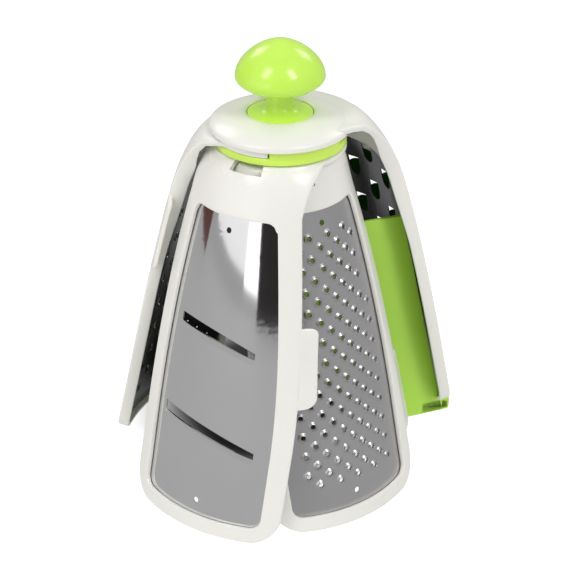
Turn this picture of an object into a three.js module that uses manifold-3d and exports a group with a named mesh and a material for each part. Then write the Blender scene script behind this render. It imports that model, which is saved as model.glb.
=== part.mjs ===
// Rotary four-leaf cheese grater. Four curved leaves hang from one spindle and nest inside each
// other; each holds a different steel plate. A mushroom knob on the spindle tops the hub.
// Millimetres, +Z up. Each piece is made about the spindle, which is its Z axis, and the leaves
// stand on Z = 0. The last lines move the whole grater so that its footprint is centred.
import * as THREE from "three";
import { mergeVertices } from "three/addons/utils/BufferGeometryUtils.js";
import Module from "manifold-3d";

const wasm = await Module();
wasm.setup();

const V2 = THREE.Vector2;
const V3 = THREE.Vector3;
const rad = THREE.MathUtils.degToRad;

// ---------------------------------------------------------------- driving dimensions
const GAP = 0.3; // running gap between neighbouring pieces
const TURN_SEGMENTS = 40; // facets round a full turn

// The wall of the innermost leaf; each leaf outside it is LEAF_PITCH larger in radius.
const LEAF_PITCH = 9.1;
const FOOT_RADIUS = 77;
const TOP_RADIUS = 37.7;
const WALL_HEIGHT = 159;
const FOOT_FLARE = 0.27; // how fast the radius shrinks with height at the foot
const TOP_LEAN = 0.3; // and at the top of the wall

// Outline of a leaf, seen square on.
const HALF_WIDTH = 45.7;
const HUB_HALF_WIDTH = 33;
const WIDEST_HEIGHT = 42;
const WAIST_HEIGHT = 165;
const CORNER_RADIUS = 14;
const BORDER = 9.2; // from the leaf's edge to the edge of its steel plate's window
const FOOT_BORDER = 7.6;
const WINDOW_TOP = 163.5;
const WINDOW_CORNER = 5;

// Section of a leaf: a skin with a deeper rim all round its edge.
const SKIN = 2.3;
const RIM_DEPTH = 6.2;
const RIM_WALL = 2.5;
const PLATE_THICKNESS = 0.6;
const PLATE_TOP = 172;

// Hub, from the top down.
const BORE = 9.3;
const HUB_RADIUS = 33;
const DISC = { radius: 35, crown: 202.7, rimTop: 198, under: 194.7 };
const RECESS = { radius: 16.5, floor: 199.6 };
const COLLAR = { radius: 32.9, top: 194.4, ledge: 191, under: 187.4, inner: 15.9 };
const COLLAR_STOP = { from: -9, to: 62 }; // azimuths of the collar's raised block
const PEG = { radius: 2, height: 1.6, ring: 25, azimuths: [8, 45] };
const RETAINER = { radius: 17, top: 178.2, under: 173.1 };

// Knob.
const KNOB = { radius: 22.1, equator: 220.6, top: 239.1, under: 215, underRadius: 14.1, opening: 12.6 };
const STEM_RADIUS = 6.5;
const SHANK = { radius: 9, under: 178.6 };
const BOLT = { radius: 2.5, top: 231, headRadius: 4.6, headUnder: 173.5, headTop: 176.1 };
const THRUST = { radius: 16, thickness: 0.6, spring: 1.4 };

// Green guard behind the coarse leaf: side wall, inner wall and a hem under the leaf's foot.
const GUARD = {
  near: -21.2, // the side wall's face, in degrees from the coarse leaf's centre line
  wall: 2.4,
  inset: 12.7, // from the innermost leaf's wall to the inner wall
  height: 132.5,
  relief: { radius: 44, low: 118 }, // cut for the grate leaf's rim at its open stop
  far: 33,
  hemTop: 8.2,
  hemDepth: 6.6,
};

// Azimuths are measured about +Z from -Y, the grater's front. The tabs step down from leaf to
// leaf, so that every tab can be reached when the leaves are folded.
const LEAVES = {
  coarse: {
    steps: 3,
    azimuth: 131.1,
    foot: 8.5,
    shoulderRim: 7.6,
    flangeTop: 199.3,
    flangeEdge: 36,
    flange: 3.3,
  },
  fine: {
    steps: 2,
    azimuth: -125.4,
    foot: 0,
    tab: [117, 157],
    shoulderRim: 8.2,
    flangeTop: 194.3,
    flangeEdge: 34,
    flange: 3,
  },
  slicer: {
    steps: 1,
    azimuth: -33.3,
    foot: 0,
    tab: [71, 112],
    shoulderRim: RIM_DEPTH,
    flangeTop: 187.1,
    flangeEdge: 30,
    flange: 2.4,
  },
  grate: {
    steps: 0,
    azimuth: 34.4,
    foot: 0,
    tab: [24, 66],
    shoulderRim: RIM_DEPTH,
    flangeTop: 184.4,
    flangeEdge: 29,
    flange: 2.4,
  },
};
// Handles of the shoulder curve: up from the wall, and out from the flange's edge.
const SHOULDER = { up: 14, out: 0.42 };

// Finger tab: reach past the leaf's edge and corner radius.
const TAB = { reach: 6.4, corner: 5 };

// Fine leaf's hub flange: a full ring inside, and a sector that meets the collar's stop.
const FINE_SECTOR = { from: -66, to: 115 };

const WHITE = 0xecebe4;
const GREEN = 0x8fce28;
const STEEL = 0xb9bcc0;

// ---------------------------------------------------------------- solids
// A geometry as a manifold-3d solid, turned inside out when its faces point inwards.
function solid(geometry) {
  const bare = geometry.index ? geometry.toNonIndexed() : geometry;
  const position = new THREE.BufferGeometry().setAttribute("position", bare.attributes.position);
  const merged = mergeVertices(position, 1e-4);
  const make = (triVerts) =>
    new wasm.Manifold(
      new wasm.Mesh({ numProp: 3, vertProperties: merged.attributes.position.array, triVerts }),
    );
  const faces = merged.index.array.filter((_, i, all) => {
    const t = i - (i % 3);
    return all[t] !== all[t + 1] && all[t + 1] !== all[t + 2] && all[t + 2] !== all[t];
  });
  const made = make(new Uint32Array(faces));
  return made.volume() < 0 ? make(new Uint32Array(faces).reverse()) : made;
}

function geometryOf(body) {
  const mesh = body.getMesh();
  const stride = mesh.numProp;
  const points = new Float32Array(mesh.numVert * 3);
  for (let i = 0; i < mesh.numVert; i++) {
    points.set(mesh.vertProperties.subarray(i * stride, i * stride + 3), i * 3);
  }
  return new THREE.BufferGeometry()
    .setAttribute("position", new THREE.BufferAttribute(points, 3))
    .setIndex(new THREE.BufferAttribute(mesh.triVerts, 1));
}

// Turned about Z from a closed profile of [radius, height] points.
function turned(profile, segments = TURN_SEGMENTS) {
  const points = profile.map(([r, z]) => new V2(r, z));
  const lathe = new THREE.LatheGeometry([...points, points[0]], segments);
  return solid(lathe.rotateX(Math.PI / 2));
}

// A shape drawn in (across, up) and extruded outwards, along +X of a leaf.
function prism(shape, from, to) {
  const extruded = new THREE.ExtrudeGeometry(shape, {
    depth: to - from,
    bevelEnabled: false,
    curveSegments: 4,
  });
  const outward = new THREE.Matrix4().makeBasis(new V3(0, 1, 0), new V3(0, 0, 1), new V3(1, 0, 0));
  return solid(extruded.applyMatrix4(outward.setPosition(from, 0, 0)));
}

// A sector of a ring, as a shape in plan extruded up from low to high.
function sector(inner, outer, fromDeg, toDeg, low, high, segments = 12) {
  const shape = new THREE.Shape();
  shape.absarc(0, 0, outer, rad(fromDeg), rad(toDeg), false);
  shape.absarc(0, 0, inner, rad(toDeg), rad(fromDeg), true);
  const extruded = new THREE.ExtrudeGeometry(shape, {
    depth: high - low,
    bevelEnabled: false,
    curveSegments: segments,
  });
  return solid(extruded.translate(0, 0, low));
}

function cylinder(radius, low, high, x = 0, y = 0, segments = 16) {
  const made = new THREE.CylinderGeometry(radius, radius, high - low, segments);
  return solid(made.rotateX(Math.PI / 2).translate(x, y, (low + high) / 2));
}

// A box between two corners, then turned about Z.
function box(min, max, turnDeg = 0) {
  const size = new V3(...max).sub(new V3(...min));
  const centre = new V3(...min).add(new V3(...max)).multiplyScalar(0.5);
  const made = new THREE.BoxGeometry(size.x, size.y, size.z).translate(centre.x, centre.y, centre.z);
  return solid(made.rotateZ(rad(turnDeg)));
}

// A piece of the scene graph from a finished solid.
function piece(name, body, color, metalness = 0) {
  const material = new THREE.MeshStandardMaterial({
    color,
    metalness,
    roughness: metalness ? 0.25 : 0.35,
  });
  const mesh = new THREE.Mesh(geometryOf(body), material);
  mesh.name = name;
  return mesh;
}

// ---------------------------------------------------------------- the shape of a leaf
// Half the leaf's width as a curve from its widest height up to the hub's width.
const flank = new THREE.CubicBezierCurve(
  new V2(HALF_WIDTH, WIDEST_HEIGHT),
  new V2(HALF_WIDTH, WIDEST_HEIGHT + 41),
  new V2(HUB_HALF_WIDTH + 7.2, WAIST_HEIGHT - 41),
  new V2(HUB_HALF_WIDTH, WAIST_HEIGHT),
);

// The wall curve of the innermost leaf as [radius, height], moved out by a whole number of steps.
function wallCurve(steps) {
  const out = steps * LEAF_PITCH;
  const third = WALL_HEIGHT / 3;
  return new THREE.CubicBezierCurve(
    new V2(FOOT_RADIUS + out, 0),
    new V2(FOOT_RADIUS + out - FOOT_FLARE * third, third),
    new V2(TOP_RADIUS + out + TOP_LEAN * third, 2 * third),
    new V2(TOP_RADIUS + out, WALL_HEIGHT),
  );
}

// Outer profile of a leaf, from below its foot up the wall, over the shoulder and in to the bore.
function outerProfile(leaf) {
  const wall = wallCurve(leaf.steps);
  const top = wall.getPoint(1);
  const rise = wall.getTangent(1);
  const flangeEdge = new V2(leaf.flangeEdge, leaf.flangeTop);
  const shoulder = new THREE.CubicBezierCurve(
    top,
    top.clone().addScaledVector(rise, SHOULDER.up),
    flangeEdge.clone().add(new V2((top.x - leaf.flangeEdge) * SHOULDER.out, 0)),
    flangeEdge,
  );
  const below = wall.getPoint(0).addScaledVector(wall.getTangent(0), -10);
  const bore = new V2(BORE, leaf.flangeTop);
  return [below, ...wall.getPoints(5), ...shoulder.getPoints(4).slice(1), bore];
}

// The profile moved inwards, square to itself, by a depth that may change along it.
function inset(profile, depthAt) {
  return profile.map((point, i) => {
    const before = profile[Math.max(i - 1, 0)];
    const after = profile[Math.min(i + 1, profile.length - 1)];
    const along = after.clone().sub(before).normalize();
    if (i === profile.length - 1) along.set(-1, 0);
    const inward = new V2(-along.y, along.x);
    const moved = point.clone().addScaledVector(inward, depthAt(point, i));
    if (i === profile.length - 1) moved.x = point.x;
    return moved;
  });
}

// A shell of revolution between two depths below a leaf's outer surface.
function shell(leaf, from, to) {
  const profile = outerProfile(leaf);
  const depth = (value) => (typeof value === "function" ? value : () => value);
  const outside = inset(profile, depth(from));
  const inside = inset(profile, depth(to)).reverse();
  return turned([...outside, ...inside].map((p) => [p.x, p.y]));
}

// Depth of the rim: even on the wall, its own at the shoulder, then easing to the flange.
function rimDepth(leaf) {
  return (point) => {
    const { lerp, smoothstep } = THREE.MathUtils;
    const rim = lerp(RIM_DEPTH, leaf.shoulderRim, smoothstep(point.y, WALL_HEIGHT - 40, WALL_HEIGHT));
    const low = lerp(WALL_HEIGHT, leaf.flangeTop, leaf.shoulderRim > RIM_DEPTH ? 0.4 : 0);
    return lerp(rim, leaf.flange, smoothstep(point.y, low, leaf.flangeTop - 2));
  };
}

// Outline of a leaf moved in by a border, in (across, up): foot, rounded corners, flanks, top.
function outline(leaf, border, footBorder, top, corner) {
  const low = leaf.foot + footBorder;
  const halfWidth = HALF_WIDTH - border;
  const round = CORNER_RADIUS - Math.min(border, CORNER_RADIUS - 5);
  const shoulder = [172, 178, 183].map((height) => new V2(HUB_HALF_WIDTH, height));
  const flanks = [...flank.getPoints(4), ...shoulder].filter((p) => p.y < top - corner - 1);
  const last = flanks[flanks.length - 1];
  const topHalf = (last.y > WAIST_HEIGHT - 1 ? HUB_HALF_WIDTH : widthAt(top)) - border;
  const shape = new THREE.Shape();
  shape.moveTo(-halfWidth + round, low);
  shape.lineTo(halfWidth - round, low);
  shape.absarc(halfWidth - round, low + round, round, -Math.PI / 2, 0, false);
  flanks.forEach((p) => shape.lineTo(p.x - border, p.y));
  if (corner > 0) {
    shape.lineTo(topHalf, top - corner);
    shape.absarc(topHalf - corner, top - corner, corner, 0, Math.PI / 2, false);
    shape.absarc(-topHalf + corner, top - corner, corner, Math.PI / 2, Math.PI, false);
  } else {
    shape.lineTo(topHalf, top);
    shape.lineTo(-topHalf, top);
  }
  [...flanks].reverse().forEach((p) => shape.lineTo(border - p.x, p.y));
  shape.absarc(-halfWidth + round, low + round, round, Math.PI, Math.PI * 1.5, false);
  return shape;
}

// Half the leaf's width at a height, read off the flank curve.
function widthAt(height) {
  if (height >= WAIST_HEIGHT) return HUB_HALF_WIDTH;
  const points = flank.getPoints(60);
  return points.find((p) => p.y >= height).x;
}

const FAR = 130; // past the largest leaf, outwards
const HIGH = 215; // past the hub's top

// Outer radius of a leaf at a height, read off its profile.
function radiusAt(leaf, height) {
  const profile = outerProfile(leaf).slice(0, -1);
  const above = Math.max(profile.findIndex((p) => p.y >= height), 1);
  if (height >= leaf.flangeTop) return leaf.flangeEdge;
  const [low, high] = [profile[above - 1], profile[above]];
  return THREE.MathUtils.mapLinear(height, low.y, high.y, low.x, high.x);
}

// A solid with a leaf's outline in (across, up), whose sides run straight out from the spindle.
// It is extruded in three layers: the middle one follows the leaf's wall.
function radialPrism(leaf, shape) {
  const extruded = new THREE.ExtrudeGeometry(shape, {
    depth: 3,
    steps: 3,
    bevelEnabled: false,
    curveSegments: 4,
  });
  const position = extruded.attributes.position;
  for (let i = 0; i < position.count; i++) {
    const up = position.getY(i);
    const radius = radiusAt(leaf, up);
    const sine = THREE.MathUtils.clamp(position.getX(i) / radius, -0.98, 0.98);
    const reach = [8, radius - 14, radius + 2, 5 * FAR][Math.round(position.getZ(i))];
    position.setXYZ(i, reach * Math.sqrt(1 - sine * sine), reach * sine, up);
  }
  return solid(extruded);
}

// The tray-shaped plastic frame of a leaf: skin, rim, window, finger tab and hub flange.
function frameSolid(leaf) {
  const whole = radialPrism(leaf, outline(leaf, 0, 0, HIGH, 0));
  const hub = cylinder(HUB_RADIUS, leaf.flangeTop - 14, HIGH, 0, 0, TURN_SEGMENTS);
  const deep = shell(leaf, 0, rimDepth(leaf)).intersect(whole.add(hub));
  const pocket = radialPrism(leaf, outline(leaf, RIM_WALL, RIM_WALL, PLATE_TOP + 4, 6));
  const hollow = shell(leaf, SKIN, RIM_DEPTH + 12).intersect(pocket);
  const window = prism(outline(leaf, BORDER, FOOT_BORDER, WINDOW_TOP, WINDOW_CORNER), 10, FAR);
  const body = deep.subtract(hollow).subtract(window);
  if (!leaf.tab) return body;
  return body.add(shell(leaf, 0, SKIN).intersect(radialPrism(leaf, tabShape(leaf.tab))));
}

// The finger tab's outline, rooted in the rim.
function tabShape([low, high]) {
  const root = widthAt(high) - 2;
  const lowReach = widthAt(low) + TAB.reach;
  const highReach = widthAt(high) + TAB.reach;
  const shape = new THREE.Shape();
  shape.moveTo(root, low);
  shape.lineTo(lowReach - TAB.corner, low);
  shape.quadraticCurveTo(lowReach, low, lowReach, low + TAB.corner);
  shape.lineTo(highReach, high - TAB.corner);
  shape.quadraticCurveTo(highReach, high, highReach - TAB.corner, high);
  shape.lineTo(root, high);
  return shape;
}

// The plain steel plate that lies in the tray against the back of the skin.
function plateSolid(leaf) {
  const seat = SKIN + GAP;
  const edge = RIM_WALL + 2 * GAP;
  const area = radialPrism(leaf, outline(leaf, edge, edge, PLATE_TOP, 4));
  return shell(leaf, seat, seat + PLATE_THICKNESS).intersect(area);
}

// ---------------------------------------------------------------- openings in the plates
// A hole shape at (across, up), cut straight outwards through a plate.
function punch(plate, shapes) {
  return shapes.reduce((body, shape) => body.subtract(prism(shape, 15, FAR)), plate);
}

// Staggered grid of centres that keep a margin inside the window, top row first.
function stagger(pitchAcross, pitchUp, top, margin, offset = 0) {
  const centres = [];
  const columns = Math.ceil(HALF_WIDTH / pitchAcross);
  for (let column = -columns; column <= columns; column++) {
    const across = column * pitchAcross + offset;
    const shift = column % 2 ? pitchUp / 2 : 0;
    for (let up = top - shift; up > FOOT_BORDER + 2 * margin; up -= pitchUp) {
      if (Math.abs(across) < widthAt(Math.max(up, WIDEST_HEIGHT)) - BORDER - margin) {
        centres.push([across, up]);
      }
    }
  }
  return centres;
}

// A regular polygon, standing on a corner when its side count is odd.
function polygon(across, up, radius, sides) {
  const corners = Array.from({ length: sides }, (_, i) => {
    const angle = Math.PI / 2 + (2 * Math.PI * i) / sides;
    return new V2(across + radius * Math.cos(angle), up + radius * Math.sin(angle));
  });
  return new THREE.Shape(corners);
}

// A shred opening: wide at the cutting edge above, narrower below.
function toothShape(across, up, width, height) {
  return new THREE.Shape([
    new V2(across - width / 2, up),
    new V2(across - width * 0.3, up - height),
    new V2(across + width * 0.3, up - height),
    new V2(across + width / 2, up),
  ]);
}

// A slicing slot: an arched band that falls away to the right.
function slotShape(left, right, crown) {
  const [leftX, leftZ] = left;
  const [rightX, rightZ] = right;
  const midX = (leftX + rightX) / 2;
  const midZ = (leftZ + rightZ) / 2 + crown;
  const shape = new THREE.Shape();
  shape.moveTo(leftX, leftZ - 2.6);
  shape.quadraticCurveTo(midX, midZ - 2.6, rightX, rightZ - 1.8);
  shape.lineTo(rightX, rightZ + 1.8);
  shape.quadraticCurveTo(midX, midZ + 2.6, leftX, leftZ + 2.6);
  return shape;
}

const LOCATORS = [
  [0, 156.6],
  [0, 14.8],
];

const locatorHoles = (foot) => LOCATORS.map(([y, z]) => polygon(y, z + (z < 50 ? foot : 0), 1.5, 6));

const PLATES = {
  coarse: () => [
    ...stagger(12.3, 24.3, 164, 7).map(([y, z]) => toothShape(y, z, 7, 5)),
    ...locatorHoles(LEAVES.coarse.foot),
  ],
  fine: () => [
    ...stagger(8.1, 16.2, 142, 4).map(([y, z]) => toothShape(y, z, 4.4, 3.2)),
    ...locatorHoles(LEAVES.fine.foot),
  ],
  slicer: () => [
    slotShape([-24.5, 105], [23, 97], 6),
    slotShape([-30, 55], [28.5, 45], 6),
    ...locatorHoles(LEAVES.slicer.foot),
  ],
  grate: () => [
    ...stagger(5.7, 10.6, 150.4, 6, 2.4).map(([y, z]) => polygon(y, z, 1.7, 3)),
    ...locatorHoles(LEAVES.grate.foot),
  ],
};

// ---------------------------------------------------------------- leaves
// The coarse leaf's frame carries the white disc that tops the hub.
function coarseFrame() {
  const leaf = LEAVES.coarse;
  const disc = turned([
    [BORE, DISC.under],
    [DISC.radius - 0.8, DISC.under],
    [DISC.radius, DISC.under + 0.8],
    [DISC.radius, DISC.rimTop - 0.9],
    [DISC.radius - 0.9, DISC.rimTop],
    [(DISC.radius + RECESS.radius) / 2, DISC.crown - 1.1],
    [RECESS.radius + 1.2, DISC.crown],
    [RECESS.radius, DISC.crown - 0.5],
    [RECESS.radius, RECESS.floor],
    [BORE, RECESS.floor],
  ]);
  const hubWell = cylinder(DISC.radius - 4, DISC.under - 30, HIGH, 0, 0, TURN_SEGMENTS);
  const pegHoles = PEG.azimuths.map((azimuth) => {
    const turn = rad(azimuth - leaf.azimuth);
    const [x, y] = [PEG.ring * Math.cos(turn), PEG.ring * Math.sin(turn)];
    return cylinder(PEG.radius + GAP, DISC.under - 1, DISC.under + PEG.height + 0.6, x, y);
  });
  const body = frameSolid(leaf).subtract(hubWell).add(disc);
  return pegHoles.reduce((made, hole) => made.subtract(hole), body);
}

// The fine leaf's flange is a sector, so that it turns against the collar's raised block.
function fineFrame() {
  const leaf = LEAVES.fine;
  const cut = sector(
    COLLAR.inner - GAP,
    HUB_RADIUS + 3,
    FINE_SECTOR.to,
    FINE_SECTOR.from + 360,
    COLLAR.ledge - 4,
    HIGH,
    20,
  );
  return frameSolid(leaf).subtract(cut);
}

// The slicer's and the grate's shoulders each have an index window beside the hub.
function windowedFrame(leaf, fromDeg, toDeg) {
  const opening = sector(26, HUB_RADIUS + 1.2, fromDeg, toDeg, leaf.flangeTop - 8, HIGH, 4);
  return frameSolid(leaf).subtract(opening);
}

const FRAMES = {
  coarse: coarseFrame,
  fine: fineFrame,
  slicer: () => windowedFrame(LEAVES.slicer, -9, 19),
  grate: () => windowedFrame(LEAVES.grate, -24, -4),
};

// A leaf's group is turned so that its own +X is its centre line.
function leafGroup(name) {
  const group = new THREE.Group();
  group.rotation.z = rad(LEAVES[name].azimuth - 90);
  group.add(piece(name + "_frame", FRAMES[name](), WHITE));
  const plate = punch(plateSolid(LEAVES[name]), PLATES[name]());
  group.add(piece(name + "_plate", plate, STEEL, 1));
  return group;
}

// ---------------------------------------------------------------- guard
// Everything here is in the coarse leaf's own frame, with its centre line along +X.
function guardSolid() {
  const ring = (outer, inner) => {
    const up = wallCurve(0).getPoints(6).filter((p) => p.y < GUARD.height);
    const last = wallCurve(0).getPoint(GUARD.height / WALL_HEIGHT);
    const line = [...up, new V2(last.x, GUARD.height)];
    const out = line.map((p) => [p.x + outer, p.y]);
    const back = line.map((p) => [p.x + inner, p.y]).reverse();
    return turned([...out, ...back]);
  };
  const reach = 3 * LEAF_PITCH - RIM_DEPTH - 2 * GAP;
  const near = GUARD.near;
  const slab = box([20, 0, 0], [FAR, GUARD.wall, GUARD.height], near);
  const relief = cylinder(GUARD.relief.radius, GUARD.relief.low, HIGH);
  const side = ring(reach, -GUARD.inset - GUARD.wall).intersect(slab).subtract(relief);
  const full = sector(1, FAR, near, GUARD.far, 0, GUARD.height, 16);
  const inner = ring(-GUARD.inset, -GUARD.inset - GUARD.wall).intersect(full);
  const footRadius = FOOT_RADIUS + 3 * LEAF_PITCH;
  const hem = sector(footRadius - GUARD.hemDepth, footRadius, near, 20, 0, GUARD.hemTop, 12);
  const shoe = box([0, 0, 0], [footRadius, GUARD.wall, GUARD.hemTop], near);
  const innerFoot = footRadius - GUARD.hemDepth - 12;
  const joint = shoe.intersect(sector(innerFoot, footRadius, near - 4, 0, 0, GUARD.hemTop, 6));
  return side.add(inner).add(hem).add(joint);
}

// ---------------------------------------------------------------- hub and knob
function collarSolid() {
  const ring = turned([
    [BORE, COLLAR.under],
    [COLLAR.radius - 0.6, COLLAR.under],
    [COLLAR.radius, COLLAR.under + 0.6],
    [COLLAR.radius, COLLAR.ledge],
    [BORE, COLLAR.ledge],
  ]);
  const { from, to } = COLLAR_STOP;
  const { inner, radius, ledge, top } = COLLAR;
  const block = sector(inner, radius, from - 90, to - 90, ledge - 1, top, 14);
  const pegs = PEG.azimuths.map((azimuth) => {
    const turn = rad(azimuth - 90);
    const [x, y] = [PEG.ring * Math.cos(turn), PEG.ring * Math.sin(turn)];
    return cylinder(PEG.radius, top - 1, DISC.under + PEG.height, x, y);
  });
  return pegs.reduce((made, peg) => made.add(peg), ring.add(block));
}

// Mushroom-shaped cap of the knob, open below, with a boss inside for the threaded insert.
function knobCap() {
  const dome = new THREE.CubicBezierCurve(
    new V2(0, KNOB.top),
    new V2(8.3, KNOB.top),
    new V2(KNOB.radius, KNOB.equator + 9.7),
    new V2(KNOB.radius, KNOB.equator),
  );
  const underside = new THREE.CubicBezierCurve(
    new V2(KNOB.radius, KNOB.equator),
    new V2(KNOB.radius, KNOB.equator - 2.1),
    new V2(KNOB.underRadius + 3.4, KNOB.under),
    new V2(KNOB.underRadius, KNOB.under),
  );
  const outside = [...dome.getPoints(7), ...underside.getPoints(4).slice(1)];
  const wall = 2.4;
  return turned(
    [
      ...outside.map((p) => [p.x, p.y]),
      [KNOB.opening, KNOB.under],
      [KNOB.opening, KNOB.under + 2],
      [KNOB.radius - wall, KNOB.equator],
      [KNOB.radius - wall - 1.2, KNOB.equator + 7],
      [14, KNOB.top - 5.6],
      [8.4, KNOB.top - 5.6],
      [8.4, KNOB.under + 2.3],
      [5.6, KNOB.under + 2.3],
      [5.6, KNOB.top - 5.4],
      [0, KNOB.top - 5],
    ],
    32,
  );
}

// The plate that closes the cap from below, the stem, the flange in the disc's recess and the shank.
function knobSpool() {
  const flangeTop = DISC.crown - 0.7;
  return turned(
    [
      [BOLT.radius + 0.4, SHANK.under],
      [SHANK.radius, SHANK.under],
      [SHANK.radius, RECESS.floor + GAP],
      [RECESS.radius - GAP, RECESS.floor + GAP],
      [RECESS.radius - GAP, flangeTop],
      [STEM_RADIUS + 1.5, flangeTop + 0.3],
      [STEM_RADIUS, flangeTop + 1.8],
      [STEM_RADIUS, KNOB.under],
      [KNOB.opening - GAP, KNOB.under],
      [KNOB.opening - GAP, KNOB.under + 2],
      [BOLT.radius + 0.4, KNOB.under + 2],
    ],
    32,
  );
}

// Brass insert moulded in the knob cap's boss.
function knobInsert() {
  return turned(
    [
      [BOLT.radius + 0.4, KNOB.equator + 2.4],
      [5.2, KNOB.equator + 2.4],
      [5.2, KNOB.equator + 10.4],
      [BOLT.radius + 0.4, KNOB.equator + 10.4],
    ],
    16,
  );
}

function spindleBolt() {
  return turned(
    [
      [0, BOLT.headUnder],
      [BOLT.headRadius, BOLT.headUnder],
      [BOLT.headRadius, BOLT.headTop],
      [BOLT.radius, BOLT.headTop],
      [BOLT.radius, BOLT.top],
      [0, BOLT.top],
    ],
    16,
  );
}

// A flat ring about the spindle.
function ringSolid(inner, outer, low, high) {
  return turned(
    [
      [inner, low],
      [outer, low],
      [outer, high],
      [inner, high],
    ],
    24,
  );
}

const thrustWasher = (low) => ringSolid(BORE, THRUST.radius, low, low + THRUST.thickness);

// A three-wave spring washer below a height.
function waveSpring(inner, outer, high) {
  const thickness = 0.5;
  const low = high - THRUST.spring;
  const swing = (THRUST.spring - thickness) / 2;
  const ring = geometryOf(ringSolid(inner, outer, -thickness / 2, thickness / 2));
  const position = ring.attributes.position;
  for (let i = 0; i < position.count; i++) {
    const turn = Math.atan2(position.getY(i), position.getX(i));
    position.setZ(i, position.getZ(i) + (low + high) / 2 + swing * Math.cos(3 * turn));
  }
  return solid(ring);
}

// Cup under the stack, clamped to the shank by the bolt.
function retainerCup() {
  return turned(
    [
      [BOLT.radius + 0.4, RETAINER.top],
      [BOLT.radius + 0.4, BOLT.headTop + 1],
      [BOLT.headRadius + 0.7, BOLT.headTop + 1],
      [BOLT.headRadius + 0.7, RETAINER.under],
      [RETAINER.radius - 1, RETAINER.under],
      [RETAINER.radius, RETAINER.under + 1],
      [RETAINER.radius, RETAINER.top],
    ],
    24,
  );
}

// ---------------------------------------------------------------- assembly
// Everything stands about the spindle.
const spindle = new THREE.Group();
Object.keys(LEAVES).forEach((name) => spindle.add(leafGroup(name)));

const guard = new THREE.Group();
guard.rotation.z = rad(LEAVES.coarse.azimuth - 90);
guard.add(piece("storage_guard", guardSolid(), GREEN));
spindle.add(guard);

const { flangeTop, flange } = LEAVES.grate;
const springTop = flangeTop - flange - 2 * GAP - THRUST.thickness;
spindle.add(
  piece("hub_collar", collarSolid(), GREEN),
  piece("knob_cap", knobCap(), GREEN),
  piece("knob_spool", knobSpool(), GREEN),
  piece("knob_insert", knobInsert(), 0xc9a24a, 1),
  piece("spindle_bolt", spindleBolt(), STEEL, 1),
  piece("bolt_washer", ringSolid(BOLT.radius + 0.4, 5, BOLT.headTop + 0.2, BOLT.headTop + 0.8), STEEL, 1),
  piece("upper_thrust_washer", thrustWasher(springTop + GAP), STEEL, 1),
  piece("wave_spring", waveSpring(BORE + 0.4, THRUST.radius - 0.6, springTop), STEEL, 1),
  piece("lower_thrust_washer", thrustWasher(RETAINER.top + GAP), STEEL, 1),
  piece("retainer_cup", retainerCup(), GREEN),
);

// The origin is the middle of the whole object's footprint, so the spindle stands off it.
const middle = new THREE.Box3().setFromObject(spindle, true).getCenter(new V3());
spindle.position.set(-middle.x, -middle.y, 0);
const grater = new THREE.Group();
grater.add(spindle);

export default grater;
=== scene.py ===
"""Rotary four-leaf cheese grater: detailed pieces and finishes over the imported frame."""

from __future__ import annotations

import logging
import math
from bisect import bisect_right
from collections.abc import Callable, Sequence
from dataclasses import dataclass
from enum import Enum

import bmesh
import bpy
from mathutils import Matrix, Vector


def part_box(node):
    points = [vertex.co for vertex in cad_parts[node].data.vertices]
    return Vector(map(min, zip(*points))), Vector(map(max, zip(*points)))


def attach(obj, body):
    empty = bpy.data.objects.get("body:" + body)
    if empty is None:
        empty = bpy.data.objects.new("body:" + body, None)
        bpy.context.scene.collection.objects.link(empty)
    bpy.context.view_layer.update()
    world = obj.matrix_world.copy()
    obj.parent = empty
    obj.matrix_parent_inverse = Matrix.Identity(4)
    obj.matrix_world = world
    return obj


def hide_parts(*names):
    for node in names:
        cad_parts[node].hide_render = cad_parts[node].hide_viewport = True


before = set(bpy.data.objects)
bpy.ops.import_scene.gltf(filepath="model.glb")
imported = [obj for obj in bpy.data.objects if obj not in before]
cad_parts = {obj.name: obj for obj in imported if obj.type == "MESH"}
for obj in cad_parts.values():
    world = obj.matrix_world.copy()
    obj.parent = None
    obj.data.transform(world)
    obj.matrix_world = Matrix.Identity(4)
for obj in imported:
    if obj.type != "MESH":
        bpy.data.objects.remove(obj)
LOG = logging.getLogger("grater")
MM = 0.001

# Sizes shared by every leaf, in millimetres, repeated from the CAD source.
LEAF_PITCH = 9.1
WALL_HEIGHT = 159.0
FOOT_RADIUS = 77.0
TOP_RADIUS = 37.7
HALF_WIDTH = 45.7
HUB_HALF_WIDTH = 33.0
WIDEST_HEIGHT = 42.0
WAIST_HEIGHT = 165.0
CORNER_RADIUS = 14.0
BORDER = 9.2
FOOT_BORDER = 7.6
WINDOW_TOP = 163.5
SKIN = 2.3
RIM_DEPTH = 6.2
RIM_WALL = 2.5
BORE = 9.3
HUB_RADIUS = 33.0
PLATE_SEAT = 2.6
PLATE_THICKNESS = 0.6

# An out value at or under RIM_LIMIT counts from the rim's depth, with RIM_BASE for the depth.
RIM_BASE = -100.0
RIM_LIMIT = -90.0
JOIN_DISTANCE = 1e-5
CAP_UNDERSIDE = 215.0

Point = tuple[float, float]
Place = tuple[float, float, float]
Colour = tuple[float, float, float, float]

WHITE: Colour = (1.0, 1.0, 1.0, 1.0)


class PlateLook(Enum):
    """How bright a steel plate is polished."""

    MIRROR = 0.07
    BRIGHT = 0.2
    SATIN = 0.34


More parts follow.
